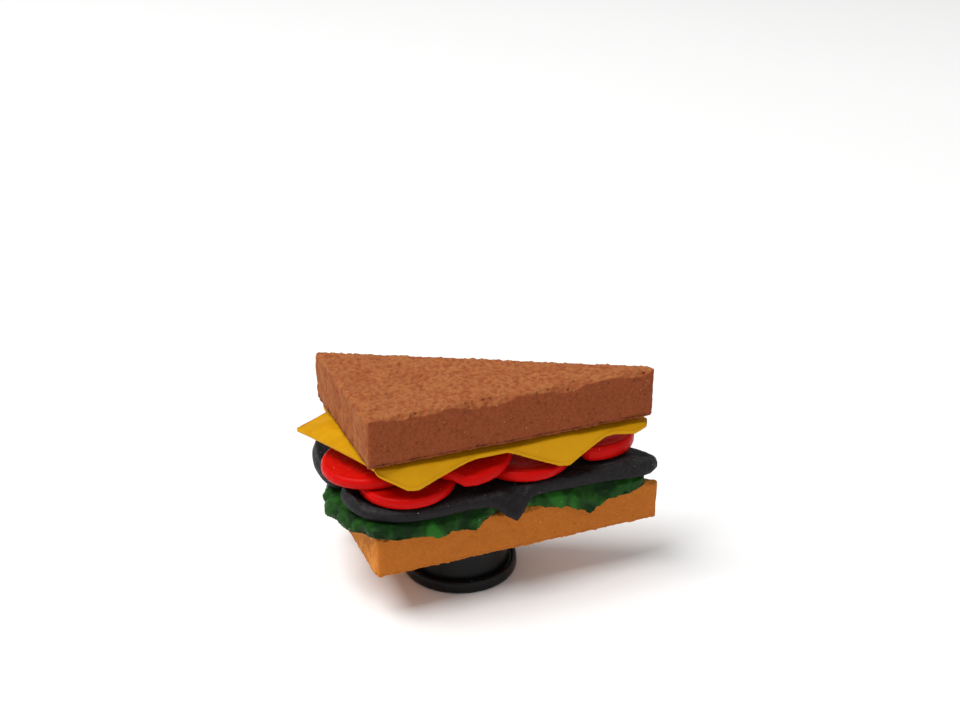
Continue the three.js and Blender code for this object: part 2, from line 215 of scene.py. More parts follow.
def wander(x, seed):
    """A smooth irregular line through x, between about -1 and 1."""
    return (np.sin(x * 0.83 + seed) + 0.7 * np.sin(x * 1.9 + 2.3 * seed)
            + 0.5 * np.sin(x * 3.7 + 4.1 * seed) + 0.35 * np.sin(x * 7.3 + 0.7 * seed)) / 2.0


def points_of(mesh):
    co = np.empty(len(mesh.vertices) * 3, np.float32)
    mesh.vertices.foreach_get("co", co)
    return co.reshape(-1, 3).astype(float)


def normals_of(mesh):
    no = np.empty(len(mesh.vertices) * 3, np.float32)
    mesh.vertices.foreach_get("normal", no)
    return no.reshape(-1, 3).astype(float)


def set_points(mesh, co):
    mesh.vertices.foreach_set("co", co.astype(np.float32).ravel())
    mesh.update()


def set_field(mesh, name, values):
    layer = mesh.attributes.get(name) or mesh.attributes.new(name, "FLOAT", "POINT")
    layer.data.foreach_set("value", values.astype(np.float32))


def fine_copy(name, node, voxel, rounding):
    """An even fine mesh of a CAD node's solid, in millimetres, with its facets rounded off."""
    bm = bmesh.new()
    bm.from_mesh(frame["nodes"][node].data)
    bmesh.ops.scale(bm, vec=(TO_MM,) * 3, verts=bm.verts)
    bmesh.ops.remove_doubles(bm, verts=bm.verts, dist=0.001)
    mesh = bpy.data.meshes.new(name)
    bm.to_mesh(mesh)
    bm.free()
    obj = bpy.data.objects.new(name, mesh)
    bpy.context.scene.collection.objects.link(obj)
    remesh = obj.modifiers.new("even", "REMESH")
    remesh.mode = "VOXEL"
    remesh.voxel_size = voxel
    soften = obj.modifiers.new("round", "SMOOTH")
    soften.factor = 0.5
    soften.iterations = rounding
    bake(obj)
    return obj


def edge_distance(mesh):
    """How far each vertex lies in from the piece's rim, seen from above, in millimetres."""
    co = points_of(mesh)
    rim = np.flatnonzero(np.abs(normals_of(mesh)[:, 2]) < 0.3)
    tree = KDTree(len(rim))
    for i, v in enumerate(rim):
        tree.insert((co[v, 0], co[v, 1], 0.0), i)
    tree.balance()
    return np.array([tree.find((x, y, 0.0))[2] for x, y, _ in co])


def finish_piece(obj, nodes):
    """Scales a piece to metres and ties it to the frame."""
    obj.data.transform(Matrix.Scale(TO_METRES, 4))
    obj.data.shade_smooth()
    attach(obj, ROOT)
    if nodes:
        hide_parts(*nodes)


# ---- Materials ----------------------------------------------------------------------------

def new_material(name):
    """A material with its tree, its shader and the place on the piece in millimetres."""
    material = bpy.data.materials.new(name)
    material.use_nodes = True
    tree = material.node_tree
    place = add(tree, "ShaderNodeMapping", {
        "Vector": add(tree, "ShaderNodeTexCoord").outputs["Object"], "Scale": (TO_MM,) * 3}).outputs[0]
    return material, tree, tree.nodes["Principled BSDF"], place


def bump(tree, shader, height, strength, distance):
    made = add(tree, "ShaderNodeBump", {
        "Height": height, "Strength": strength, "Distance": distance * TO_METRES})
    tree.links.new(made.outputs[0], shader.inputs["Normal"])


def bread_material(name, paint, brushed, pit_colour, speckle):
    """Painted crumb: one paint all over, a lighter one brushed on its crests, darker in its pits, with a
    painted shadow along its bottom edge.
    """
    material, tree, shader, place = new_material(name)
    blotch = noise(tree, place, 0.35, 4, 0.6)
    grain = noise(tree, place, 3.2, 5, 0.7)
    shade = blend_colours(tree, ramp(tree, grain, 0.4, 0.62, 0.0, speckle), paint, pit_colour)
    height = calc(tree, "ADD", attribute(tree, "crumb"), calc(tree, "MULTIPLY", grain, 0.5))
    crest = ramp(tree, height, 0.58, 0.84)
    patch = ramp(tree, blotch, 0.3, 0.6, 0.6, 1.0)
    cover = calc(tree, "MULTIPLY", attribute(tree, "brushed"), calc(tree, "MULTIPLY", crest, patch))
    colour = blend_colours(tree, cover, shade, brushed)
    colour = blend_colours(tree, calc(tree, "MULTIPLY", attribute(tree, "pit"), 0.8, True),
                           colour, pit_colour)
    # Painted shadow: a dark broken line along the bread's bottom edge, where it sits on the fillings.
    shadow = tuple(c * 0.3 for c in pit_colour[:3]) + (1.0,)
    colour = blend_colours(tree, calc(tree, "MULTIPLY", attribute(tree, "lip"), 1.5, True), colour, shadow)
    tree.links.new(colour, shader.inputs["Base Color"])
    tree.links.new(ramp(tree, grain, 0.3, 0.7, 0.62, 0.86), shader.inputs["Roughness"])
    shader.inputs["Specular IOR Level"].default_value = 0.08
    bump(tree, shader, noise(tree, place, 3.6, 5, 0.75), 1.0, 0.12)
    return material


def cheese_material(name, colour, edge_colour):
    """Smooth satin sheet with a lighter edge and faint mottling."""
    material, tree, shader, place = new_material(name)
    mottle = noise(tree, place, 0.5, 4, 0.55)
    deeper = (colour[0] * 0.9, colour[1] * 0.84, colour[2] * 0.8, 1.0)
    base = blend_colours(tree, ramp(tree, mottle, 0.35, 0.65), deeper, colour)
    base = blend_colours(tree, calc(tree, "MULTIPLY", attribute(tree, "rim"), 0.75), base, edge_colour)
    tree.links.new(base, shader.inputs["Base Color"])
    tree.links.new(ramp(tree, noise(tree, place, 3.0, 3), 0.3, 0.7, 0.42, 0.56), shader.inputs["Roughness"])
    shader.inputs["Specular IOR Level"].default_value = 0.05
    bump(tree, shader, noise(tree, place, 4.5, 4, 0.6), 0.25, 0.05)
    return material


def tomato_material(name, flesh, skin, seed_colour):
    """Glossy red: deeper flesh inside, a lighter band round the rim, partly its own paint and partly a
    painted highlight along its upper edge, pale seed bumps.
    """
    material, tree, shader, place = new_material(name)
    mottle = noise(tree, place, 1.1, 4, 0.6)
    deeper = (flesh[0] * 0.9, flesh[1] * 0.85, flesh[2] * 0.9, 1.0)
    base = blend_colours(tree, ramp(tree, mottle, 0.35, 0.65), deeper, flesh)
    # Rim band: the rim's own paint on its sides and a painted highlight along its upper edge.
    base = blend_colours(tree, attribute(tree, "rim"), base, skin)
    base = blend_colours(tree, calc(tree, "MULTIPLY", attribute(tree, "seed"), 0.2), base, seed_colour)
    tree.links.new(base, shader.inputs["Base Color"])
    tree.links.new(ramp(tree, noise(tree, place, 2.2, 4), 0.3, 0.7, 0.3, 0.46), shader.inputs["Roughness"])
    shader.inputs["Specular IOR Level"].default_value = 0.08
    bump(tree, shader, noise(tree, place, 5.0, 4, 0.6), 0.3, 0.05)
    return material


def dark_material(name, colour, highlight_and_dust):
    """Matt dark grey with a painted highlight on its rims and sides, pale dust on its right end, and a fine
    grain.
    """
    material, tree, shader, place = new_material(name)
    mottle = noise(tree, place, 0.8, 5, 0.6)
    deeper = (colour[0] * 0.86, colour[1] * 0.86, colour[2] * 0.87, 1.0)
    base = blend_colours(tree, ramp(tree, mottle, 0.35, 0.65), deeper, colour)
    # Patches that break up the painted highlight and the dust.
    patchiness = ramp(tree, noise(tree, place, 2.5, 5), 0.3, 0.65)
    highlight_and_dust_patches = calc(tree, "MULTIPLY", attribute(tree, "highlight_and_dust"), patchiness)
    base = blend_colours(tree, calc(tree, "MULTIPLY", highlight_and_dust_patches, 0.7), base, highlight_and_dust)
    tree.links.new(base, shader.inputs["Base Color"])
    tree.links.new(ramp(tree, noise(tree, place, 3.0, 4), 0.3, 0.7, 0.46, 0.66), shader.inputs["Roughness"])
    shader.inputs["Specular IOR Level"].default_value = 0.12
    bump(tree, shader, noise(tree, place, 6.0, 5, 0.65), 0.35, 0.05)
    return material


def lettuce_material(name, colour, ridge_highlight_colour, fold_shade_colour):
    """Deep green leaf with a painted highlight on its ridges and painted shade, nearly black, in its folds.
    """
    material, tree, shader, place = new_material(name)
    mottle = noise(tree, place, 1.4, 5, 0.6)
    deeper = (colour[0] * 0.7, colour[1] * 0.75, colour[2] * 0.7, 1.0)
    base = blend_colours(tree, ramp(tree, mottle, 0.35, 0.65), deeper, colour)
    # Painted highlight: the lighter green on the ruffle crests and vein ridges.
    base = blend_colours(tree, calc(tree, "MULTIPLY", attribute(tree, "ridge_and_highlight"), 0.8, True),
                         base, ridge_highlight_colour)
    # Painted shade: nearly black green in the folds between the ruffles.
    base = blend_colours(tree, calc(tree, "MULTIPLY", attribute(tree, "fold_shade"), 0.85, True),
                         base, fold_shade_colour)
    tree.links.new(base, shader.inputs["Base Color"])
    tree.links.new(ramp(tree, mottle, 0.3, 0.7, 0.36, 0.52), shader.inputs["Roughness"])
    shader.inputs["Specular IOR Level"].default_value = 0.1
    bump(tree, shader, noise(tree, place, 5.5, 5, 0.65), 0.4, 0.06)
    return material


def stud_material(name, colour):
    """Glossy black moulded plastic with faint scuff marks."""
    material, tree, shader, place = new_material(name)
    scuff = noise(tree, place, 2.0, 5, 0.65)
    greyer = tuple(min(1.0, c * 1.9 + 0.004) for c in colour[:3]) + (1.0,)
    tree.links.new(blend_colours(tree, ramp(tree, scuff, 0.55, 0.8), colour, greyer),
                   shader.inputs["Base Color"])
    tree.links.new(ramp(tree, scuff, 0.3, 0.75, 0.3, 0.44), shader.inputs["Roughness"])
    shader.inputs["Specular IOR Level"].default_value = 0.2
    bump(tree, shader, noise(tree, place, 3.5, 3), 0.06, 0.04)
    return material


def dust_material(name):
    material, tree, shader, place = new_material(name)
    tint = blend_colours(tree, noise(tree, place, 1.5), (0.62, 0.58, 0.52, 1), (0.9, 0.88, 0.84, 1))
    tree.links.new(tint, shader.inputs["Base Color"])
    shader.inputs["Roughness"].default_value = 0.85
    return material


def floor_material(name, colour):
    material, tree, shader, place = new_material(name)
    lighter = tuple(min(1.0, c * 1.02) for c in colour[:3]) + (1.0,)
    tint = blend_colours(tree, noise(tree, place, 0.01), colour, lighter)
    tree.links.new(tint, shader.inputs["Base Color"])
    shader.inputs["Roughness"].default_value = 0.9
    return material


# ---- Geometry trees -----------------------------------------------------------------------

def crumb_tree():
    """Spongy relief: a fine crumb all over and scattered pits, deepest on the flat faces."""
    tree, given = geometry_tree("bread_crumb", {
        "Crumb Size": 0.8, "Face Depth": 0.2, "Side Depth": 0.08,
        "Pit Spacing": 0.72, "Pit Depth": 0.2, "Pit Share": 0.4, "Grain Stretch": 0.45})
    position = add(tree, "GeometryNodeInputPosition").outputs[0]
    normal = add(tree, "ShaderNodeSeparateXYZ", {0: add(tree, "GeometryNodeInputNormal").outputs[0]}).outputs
    up = ramp(tree, calc(tree, "ABSOLUTE", normal[2]), 0.35, 0.85)
    left = ramp(tree, calc(tree, "MULTIPLY", normal[0], -1.0), 0.5, 0.9)
    flatter = add(tree, "ShaderNodeCombineXYZ", {0: 1.0, 1: 1.0, 2: given["Grain Stretch"]}).outputs[0]
    stretched = add(tree, "ShaderNodeVectorMath", {0: position, 1: flatter}, operation="MULTIPLY").outputs[0]
    scale = calc(tree, "DIVIDE", 1.0, given["Crumb Size"])
    crumb = noise(tree, stretched, scale, 4.0, 0.62)
    coarse = noise(tree, position, calc(tree, "MULTIPLY", scale, 0.28), 2.0, 0.5)
    deeper_left = calc(tree, "ADD", 1.0, calc(tree, "MULTIPLY", left, 0.9))
    side = calc(tree, "MULTIPLY", given["Side Depth"], deeper_left)
    depth = calc(tree, "ADD", calc(tree, "MULTIPLY", given["Face Depth"], up),
                 calc(tree, "MULTIPLY", side, calc(tree, "SUBTRACT", 1.0, up)))
    cells = add(tree, "ShaderNodeTexVoronoi", {
        "Vector": position, "Scale": calc(tree, "DIVIDE", 1.0, given["Pit Spacing"])}, feature="F1").outputs
    tint = add(tree, "ShaderNodeSeparateXYZ", {0: cells["Color"]}).outputs
    chosen = calc(tree, "LESS_THAN", tint[0], given["Pit Share"])
    radius = calc(tree, "ADD", 0.12, calc(tree, "MULTIPLY", tint[1], 0.2))
    bowl = calc(tree, "SUBTRACT", 1.0, calc(tree, "DIVIDE", cells["Distance"], radius), True)
    pit = calc(tree, "MULTIPLY", chosen, ramp(tree, bowl, 0.0, 0.7))
    uneven = calc(tree, "ADD", calc(tree, "MULTIPLY", calc(tree, "SUBTRACT", crumb, 0.6), depth),
                  calc(tree, "MULTIPLY", calc(tree, "SUBTRACT", coarse, 0.55), 0.22))
    dug = calc(tree, "MULTIPLY", pit, calc(tree, "MULTIPLY", given["Pit Depth"],
                                            calc(tree, "ADD", 0.45, calc(tree, "MULTIPLY", up, 0.55))))
    geometry = store(tree, given["Geometry"], "pit", pit)
    geometry = store(tree, geometry, "crumb", crumb)
    brushed = calc(tree, "ADD", up, calc(tree, "MULTIPLY", left, 0.9), True)
    geometry = store(tree, geometry, "brushed", brushed)
    geometry = move_along_normal(tree, geometry, calc(tree, "SUBTRACT", uneven, dug))
    return close_tree(tree, geometry, given)


def skin_tree():
    """Gentle hand-moulded unevenness: a coarse swell and a fine grain."""
    tree, given = geometry_tree("moulded_skin", {
        "Swell Size": 2.5, "Swell Depth": 0.1, "Grain Size": 0.5, "Grain Depth": 0.02})
    position = add(tree, "GeometryNodeInputPosition").outputs[0]
    parts = []
    for size, depth, detail in (("Swell Size", "Swell Depth", 1.5), ("Grain Size", "Grain Depth", 4.0)):
        field = noise(tree, position, calc(tree, "DIVIDE", 1.0, given[size]), detail, 0.55)
        parts.append(calc(tree, "MULTIPLY", calc(tree, "SUBTRACT", field, 0.55), given[depth]))
    geometry = move_along_normal(tree, given["Geometry"], calc(tree, "ADD", *parts))
    return close_tree(tree, geometry, given)


def leaf_tree():
    """Ruffles and ridged veins that run down a leaf's hanging edge, with a fine grain."""
    tree, given = geometry_tree("leaf_ruffles", {
        "Ruffle Size": 2.3, "Ruffle Depth": 1.05, "Vein Size": 1.7, "Vein Depth": 0.12,
        "Grain Depth": 0.05, "Downward Stretch": 0.5})
    position = add(tree, "GeometryNodeInputPosition").outputs[0]
    flatter = add(tree, "ShaderNodeCombineXYZ", {0: 1.0, 1: 1.0, 2: given["Downward Stretch"]}).outputs[0]
    stretched = add(tree, "ShaderNodeVectorMath", {0: position, 1: flatter}, operation="MULTIPLY").outputs[0]
    wave = add(tree, "ShaderNodeTexNoise", {"Vector": position, "Scale": 0.4, "Detail": 1.0}).outputs[1]
    warped = add(tree, "ShaderNodeVectorMath", {0: wave, 1: (0.9, 0.9, 0.9), 2: stretched},
                 operation="MULTIPLY_ADD").outputs[0]
    hang = add(tree, "GeometryNodeInputNamedAttribute", {"Name": "hang"}, data_type="FLOAT").outputs[0]
    ruffle = noise(tree, warped, calc(tree, "DIVIDE", 1.0, given["Ruffle Size"]), 1.5, 0.5)
    vein = noise(tree, warped, calc(tree, "DIVIDE", 1.0, given["Vein Size"]), 1.0, 0.5)
    crease = calc(tree, "ABSOLUTE", calc(tree, "SUBTRACT", calc(tree, "MULTIPLY", vein, 2.0), 1.0))
    ridge_and_highlight = ramp(tree, crease, 0.22, 0.0)
    grain = noise(tree, position, 2.0, 3.0, 0.55)
    height = calc(tree, "MULTIPLY", calc(tree, "SUBTRACT", ruffle, 0.62), given["Ruffle Depth"])
    height = calc(tree, "ADD", height, calc(tree, "MULTIPLY", ridge_and_highlight, given["Vein Depth"]))
    height = calc(tree, "ADD", height, calc(tree, "MULTIPLY", calc(tree, "SUBTRACT", grain, 0.5),
                                             given["Grain Depth"]))
    # Masks for the painted highlight on the ruffle crests and vein ridges, and for the painted shade in the
    # folds.
    geometry = store(tree, given["Geometry"], "ridge_and_highlight", calc(tree, "MAXIMUM", ramp(tree, ruffle, 0.54, 0.66),
                                                             calc(tree, "MULTIPLY", ridge_and_highlight, 0.25)))
    geometry = store(tree, geometry, "fold_shade", ramp(tree, ruffle, 0.5, 0.38))
    return close_tree(tree, move_along_normal(tree, geometry, calc(tree, "MULTIPLY", height, hang)), given)


def lathe_tree():
    """Turns a profile line, given as distances from a circle, right round that circle."""
    tree, given = geometry_tree("stud_lathe", {"Circle Radius": 5.0, "Steps": 160.0, "Unevenness": 0.03})
    steps = add(tree, "FunctionNodeFloatToInt", {0: given["Steps"]}).outputs[0]
    ring = add(tree, "GeometryNodeCurvePrimitiveCircle", {
        "Resolution": steps, "Radius": given["Circle Radius"]}).outputs["Curve"]
    profile = add(tree, "GeometryNodeMeshToCurve", {"Mesh": given["Geometry"]}).outputs[0]
    turned = add(tree, "GeometryNodeCurveToMesh", {"Curve": ring, "Profile Curve": profile}).outputs[0]
    closed = add(tree, "GeometryNodeMergeByDistance", {"Geometry": turned, "Distance": 0.002}).outputs[0]
    swell = noise(tree, add(tree, "GeometryNodeInputPosition").outputs[0], 0.55, 2.0)
    distance = calc(tree, "MULTIPLY", calc(tree, "SUBTRACT", swell, 0.5), given["Unevenness"])
    return close_tree(tree, move_along_normal(tree, closed, distance), given)


def scatter_tree():
    """Scatters tiny lumps over a surface, each turned and sized by chance."""
    tree, given = geometry_tree("dust_scatter", {
        "Specks per Square Millimetre": 0.11, "Speck Radius": 0.038, "Seed": 7.0})
    seed = add(tree, "FunctionNodeFloatToInt", {0: given["Seed"]}).outputs[0]
    spots = add(tree, "GeometryNodeDistributePointsOnFaces", {
        "Mesh": given["Geometry"], "Density": given["Specks per Square Millimetre"], "Seed": seed},
        distribute_method="RANDOM").outputs
    lump = add(tree, "GeometryNodeMeshIcoSphere", {
        "Radius": given["Speck Radius"], "Subdivisions": 1}).outputs["Mesh"]
    size = add(tree, "FunctionNodeRandomValue", {0: (0.45, 0.45, 0.3), 1: (1.5, 1.1, 0.8), "Seed": seed},
               data_type="FLOAT_VECTOR").outputs[0]
    placed = add(tree, "GeometryNodeInstanceOnPoints", {
        "Points": spots["Points"], "Instance": lump, "Rotation": spots["Rotation"], "Scale": size}).outputs[0]
    return close_tree(tree, placed, given)


# ---- Settings -----------------------------------------------------------------------------

def colour_setting(name, default, about):
    return bpy.props.FloatVectorProperty(
        name=name, description=about, subtype="COLOR", size=4, min=0.0, max=1.0, default=default)


def size_setting(name, default, about):
    """A size in millimetres."""
    return bpy.props.FloatProperty(name=name + " (mm)", description=about, default=default, min=0.0)


class SANDWICH_PG_breads(bpy.types.PropertyGroup):
    voxel: size_setting("Mesh step", 0.125, "Spacing of the bread meshes")
    crumb: size_setting("Crumb size", 0.52, "Size of the crumb's lumps")
    face_depth: size_setting("Face relief", 0.62, "Depth of the crumb on the flat faces")
    side_depth: size_setting("Side relief", 0.2, "Depth of the crumb on the cut sides")
    pit_depth: size_setting("Pit depth", 0.22, "Depth of the scattered pits")
    upper_paint: colour_setting("Upper paint", (0.335, 0.081, 0.028, 1), "Paint of the upper bread")
    upper_brushed: colour_setting(
        "Upper brushed", (0.42, 0.15, 0.05, 1), "Lighter paint brushed over the upper bread's crests")
    lower_paint: colour_setting("Lower paint", (0.6, 0.18, 0.025, 1), "Paint of the lower bread")
    lower_brushed: colour_setting(
        "Lower brushed", (0.78, 0.29, 0.05, 1), "Lighter paint brushed over the lower bread's crests")


class SANDWICH_PG_fillings(bpy.types.PropertyGroup):
    voxel: size_setting("Mesh step", 0.11, "Spacing of the filling meshes")
    cheese: colour_setting("Cheese", (0.63, 0.32, 0.0035, 1), "Cheese paint")
    tomato: colour_setting("Tomato flesh", (0.6, 0.0045, 0.0025, 1), "Tomato flesh paint")
    # Rim colour, partly the rim's own paint and partly a painted highlight.
    skin: colour_setting("Tomato rim", (0.6, 0.003, 0.002, 1), "Tomato rim paint")
    dark: colour_setting("Dark slices", (0.0135, 0.012, 0.0132, 1), "Dark slice paint")
    lettuce: colour_setting("Lettuce", (0.011, 0.052, 0.006, 1), "Lettuce paint")
    # Colour of the painted highlight on the lettuce's ridges.
    ridge_and_highlight: colour_setting("Lettuce ridges", (0.024, 0.15, 0.016, 1), "Paint on the lettuce's ridges")


class SANDWICH_PG_stud(bpy.types.PropertyGroup):
    steps: bpy.props.IntProperty(name="Steps", description="Steps round the stud", default=180, min=24)
    colour: colour_setting("Stud", (0.005, 0.0048, 0.005, 1), "Stud plastic")


class SANDWICH_PG_stage(bpy.types.PropertyGroup):
    azimuth: bpy.props.FloatProperty(
        name="Azimuth", description="Where the camera stands, from -Y", subtype="ANGLE",
        unit="ROTATION", default=math.radians(-22.298))
    elevation: bpy.props.FloatProperty(
        name="Elevation", description="How far the camera looks down", subtype="ANGLE",
        unit="ROTATION", default=math.radians(24.093))
    camera: bpy.props.FloatVectorProperty(
        name="Camera", description="Camera position", subtype="XYZ", unit="LENGTH",
        default=(-0.045385, -0.116572, 0.080363))
    lens: bpy.props.FloatProperty(name="Lens (mm)", description="Focal length", default=50.0)
    floor: colour_setting("Floor", (0.93, 0.93, 0.93, 1), "Floor colour")
    sky: bpy.props.FloatProperty(name="Room light", description="Strength of the even light", default=0.36)
    key: bpy.props.FloatProperty(
        name="Key light", description="Power of the soft light", unit="POWER", default=15.8)


# ---- Pieces -------------------------------------------------------------------------------

def wear_arrises(co, low, high, spots, seed, depth):
    """Rubs an irregular flat along the front and left upper edges and nibbles the lower ones."""
    z = co[:, 2]
    for axis, other, face in ((1, 0, low[1]), (0, 1, low[0])):
        along = co[:, other]
        for top, inward in ((True, 1.0), (False, 0.45)):
            under = (high[2] - z) if top else (z - low[2])
            behind = co[:, axis] - face
            cut = depth * inward * (1.0 + 0.8 * wander(along * 0.9, seed + axis + 5 * top))
            if top and axis == 1:
                for at, width, extra in spots:
                    cut = cut + extra * hump(along - at, width)
            over = np.clip(cut - under - behind, 0.0, None) / 2.0
            co[:, axis] += over
            co[:, 2] += -over if top else over
    return co


def make_bread(obj_name, node, settings, material, spots, seed, lip):
    """One slice of bread: fine copy, scuffed flats on its edges, a thin lip underneath with a painted shadow
    line along it, then the crumb relief.
    """
    obj = fine_copy(obj_name, node, settings.voxel, BREAD_ROUNDING)
    low, high = (np.array(corner) * TO_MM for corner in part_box(node))
    co = wear_arrises(points_of(obj.data), low, high, spots, seed, WEAR_DEPTH)
    side = 1.0 - np.abs(normals_of(obj.data)[:, 2])
    rise = co[:, 2] - low[2]
    band = lip * (0.09 * hump(rise - 0.16, 0.12) - 0.07 * hump(rise - 0.52, 0.16))
    band *= 0.5 + 0.5 * wander(co[:, 0] * 1.3 + co[:, 1] * 1.1, seed)
    co[:, :2] += normals_of(obj.data)[:, :2] * (side * band)[:, None]
    set_points(obj.data, co)
    # Mask of the painted shadow: the foot of the sides and a line just above it, broken up along the edge.
    shade_breaks = 0.5 + 0.5 * wander(co[:, 0] * 2.2 - co[:, 1] * 2.0, seed + 2.0)
    set_field(obj.data, "lip", lip * side * np.clip(shade_breaks, 0.25, 1.0)
              * np.maximum(hump(rise, 0.13), 0.8 * hump(rise - 0.36, 0.08)))
    run_tree(obj, crumb_tree(), {
        "Crumb Size": settings.crumb, "Face Depth": settings.face_depth, "Side Depth": settings.side_depth,
        "Pit Depth": settings.pit_depth, "Pit Share": 0.5, "Material": material})
    finish_piece(obj, [node])


class SANDWICH_OT_breads(bpy.types.Operator):
    """Make the two slices of bread"""
    bl_idname = "sandwich.breads"
    bl_label = "Breads"

    def execute(self, context):
        settings = context.scene.sandwich_breads
        upper = bread_material("brown_crumb", settings.upper_paint, settings.upper_brushed,
                               (0.17, 0.042, 0.014, 1), 0.45)
        lower = bread_material("tan_crumb", settings.lower_paint, settings.lower_brushed,
                               (0.42, 0.115, 0.015, 1), 0.28)
        make_bread("upper_bread_crumb", "upper_bread", settings, upper,
                   ((0.0, 2.8, 0.45), (-6.0, 2.0, 0.2), (9.0, 2.5, 0.25)), 1.3, 1.0)
        make_bread("lower_bread_crumb", "lower_bread", settings, lower, (), 4.7, 0.4)
        return {"FINISHED"}


def make_filling(obj_name, node, voxel, rounding, material, shape, relief, sizes):
    """One filling: fine copy, its own shaping, then a relief tree with the given sizes."""
    obj = fine_copy(obj_name, node, voxel, rounding)
    shape(obj.data)
    run_tree(obj, relief, dict(sizes, Material=material))
    finish_piece(obj, [node])


def shape_cheese(mesh):
    """Thins the sheet towards its rim and marks the edge."""
    inward = edge_distance(mesh)
    normal = normals_of(mesh)
    co = points_of(mesh)
    over = smooth(-0.2, 0.6, normal[:, 2])
    co[:, 2] -= 0.35 * over * smooth(2.2, 0.2, inward)
    side = 1.0 - smooth(0.35, 0.8, np.abs(normal[:, 2]))
    set_field(mesh, "rim", side)
    set_points(mesh, co)


def shape_dark(mesh):
    """Rolls the rim up, higher at the left end, and marks the rim and sides for a painted highlight and the
    right end for pale dust.
    """
    inward = edge_distance(mesh)
    normal = normals_of(mesh)
    co = points_of(mesh)
    top = smooth(0.3, 0.8, normal[:, 2])
    roll = 0.16 * hump(inward - 0.7, 0.4) - 0.16 * smooth(0.9, 1.8, inward)
    end = smooth(-4.0, -8.0, co[:, 0])
    tall = 0.4 * smooth(-12.2, -12.9, co[:, 0]) * hump(inward - 0.45, 0.4)
    co[:, 2] += top * (roll * (0.35 + 0.65 * end) - 0.05 + tall)
    side = 1.0 - smooth(0.2, 0.9, np.abs(normal[:, 2]))
    # Pale dust on the top of the right end.
    end_dust = 0.8 * smooth(11.0, 16.5, co[:, 0]) * smooth(-0.2, 0.5, normal[:, 2])
    # Mask of the lighter grey: a painted highlight along the rim's crest and on the sides, and dust on the
    # right end.
    set_field(mesh, "highlight_and_dust", np.maximum(np.maximum(top * hump(inward - 0.5, 0.5), 0.35 * side), end_dust))
    set_points(mesh, co)


def shape_tomato(mesh, seed):
    """Rings of flesh, seed bumps and a light rim band, partly a painted highlight, on a tomato slice."""
    inward = edge_distance(mesh)
    normal = normals_of(mesh)
    co = points_of(mesh)
    facing = smooth(0.4, 0.9, np.abs(normal[:, 2])) * np.sign(normal[:, 2])
    ring = -0.02 * hump(inward - 0.8, 0.25) + 0.02 * hump(inward - 1.3, 0.3)
    middle = co[:, :2].mean(axis=0)
    bearing = np.arctan2(co[:, 1] - middle[1], co[:, 0] - middle[0])
    seeds = np.zeros(len(co))
    chance = np.random.default_rng(seed)
    for k in range(TOMATO_SEEDS):
        angle = 2.0 * math.pi * (k + chance.uniform(0.15, 0.85)) / TOMATO_SEEDS
        depth = chance.uniform(*SEED_BAND)
        turn = (bearing - angle + math.pi) % (2.0 * math.pi) - math.pi
        reach = np.hypot(co[:, 0] - middle[0], co[:, 1] - middle[1])
        seeds = np.maximum(seeds, hump(inward - depth, 0.32) * hump(turn * reach, 0.2))
    co[:, 2] += facing * (ring + 0.04 * seeds - 0.03)
    side = 1.0 - smooth(0.5, 0.95, np.abs(normal[:, 2]))
    # Mask of the rim colour: the rim's sides, and a strip just inside the upper edge as a painted highlight.
    set_field(mesh, "rim", np.maximum(side, 0.5 * hump(inward - 0.1, 0.3)))
    set_field(mesh, "seed", seeds)
    set_points(mesh, co)


def shape_lettuce(mesh):
    """Marks the leaf's hanging edge, which is where the folds go."""
    co = points_of(mesh)
    side = 1.0 - smooth(0.8, 1.0, np.abs(normals_of(mesh)[:, 2]))
    set_field(mesh, "hang", side * smooth(11.2, 10.2, co[:, 2]))


class SANDWICH_OT_cheese(bpy.types.Operator):
    """Make the cheese sheet"""
    bl_idname = "sandwich.cheese"
    bl_label = "Cheese"

    def execute(self, context):
        settings = context.scene.sandwich_fillings
        paint = cheese_material("cheese_paint", settings.cheese, (0.7, 0.34, 0.008, 1))
        make_filling("cheese_sheet", "cheese", THIN_STEP, CHEESE_ROUNDING, paint, shape_cheese, skin_tree(),
                     {"Swell Size": 4.0, "Swell Depth": 0.1, "Grain Depth": 0.012})
        return {"FINISHED"}


class SANDWICH_OT_tomatoes(bpy.types.Operator):
    """Make the tomato slices"""
    bl_idname = "sandwich.tomatoes"
    bl_label = "Tomato slices"

    def execute(self, context):
        settings = context.scene.sandwich_fillings
        paint = tomato_material("tomato_paint", settings.tomato, settings.skin, (0.62, 0.03, 0.02, 1))
        for i, node in enumerate(TOMATOES):
            make_filling(f"{node}_slice", node, THIN_STEP, TOMATO_ROUNDING, paint,
                         lambda mesh, seed=i: shape_tomato(mesh, seed + 3), skin_tree(),
                         {"Swell Size": 2.2, "Swell Depth": 0.1, "Grain Depth": 0.02})
        return {"FINISHED"}


class SANDWICH_OT_dark_slices(bpy.types.Operator):
    """Make the dark slices"""
    bl_idname = "sandwich.dark_slices"
    bl_label = "Dark slices"

    def execute(self, context):
        settings = context.scene.sandwich_fillings
        # The second colour is the paler grey of the painted highlight and the dust.
        paint = dark_material("dark_paint", settings.dark, (0.035, 0.033, 0.036, 1))
        for node in ("dark_slice_back", "dark_slice_front"):
            make_filling(f"{node}_slab", node, settings.voxel, DARK_ROUNDING, paint, shape_dark, skin_tree(),
                         {"Swell Size": 3.0, "Swell Depth": 0.16, "Grain Depth": 0.03})
        return {"FINISHED"}


class SANDWICH_OT_lettuce(bpy.types.Operator):
    """Make the lettuce leaf"""
    bl_idname = "sandwich.lettuce"
    bl_label = "Lettuce"

    def execute(self, context):
        settings = context.scene.sandwich_fillings
        # The last colour is the painted shade in the lettuce's folds.
        paint = lettuce_material("lettuce_paint", settings.lettuce, settings.ridge_and_highlight, (0.004, 0.02, 0.004, 1))
        make_filling("lettuce_leaf", "lettuce", settings.voxel, LETTUCE_ROUNDING, paint,
                     shape_lettuce, leaf_tree(), {})
        return {"FINISHED"}


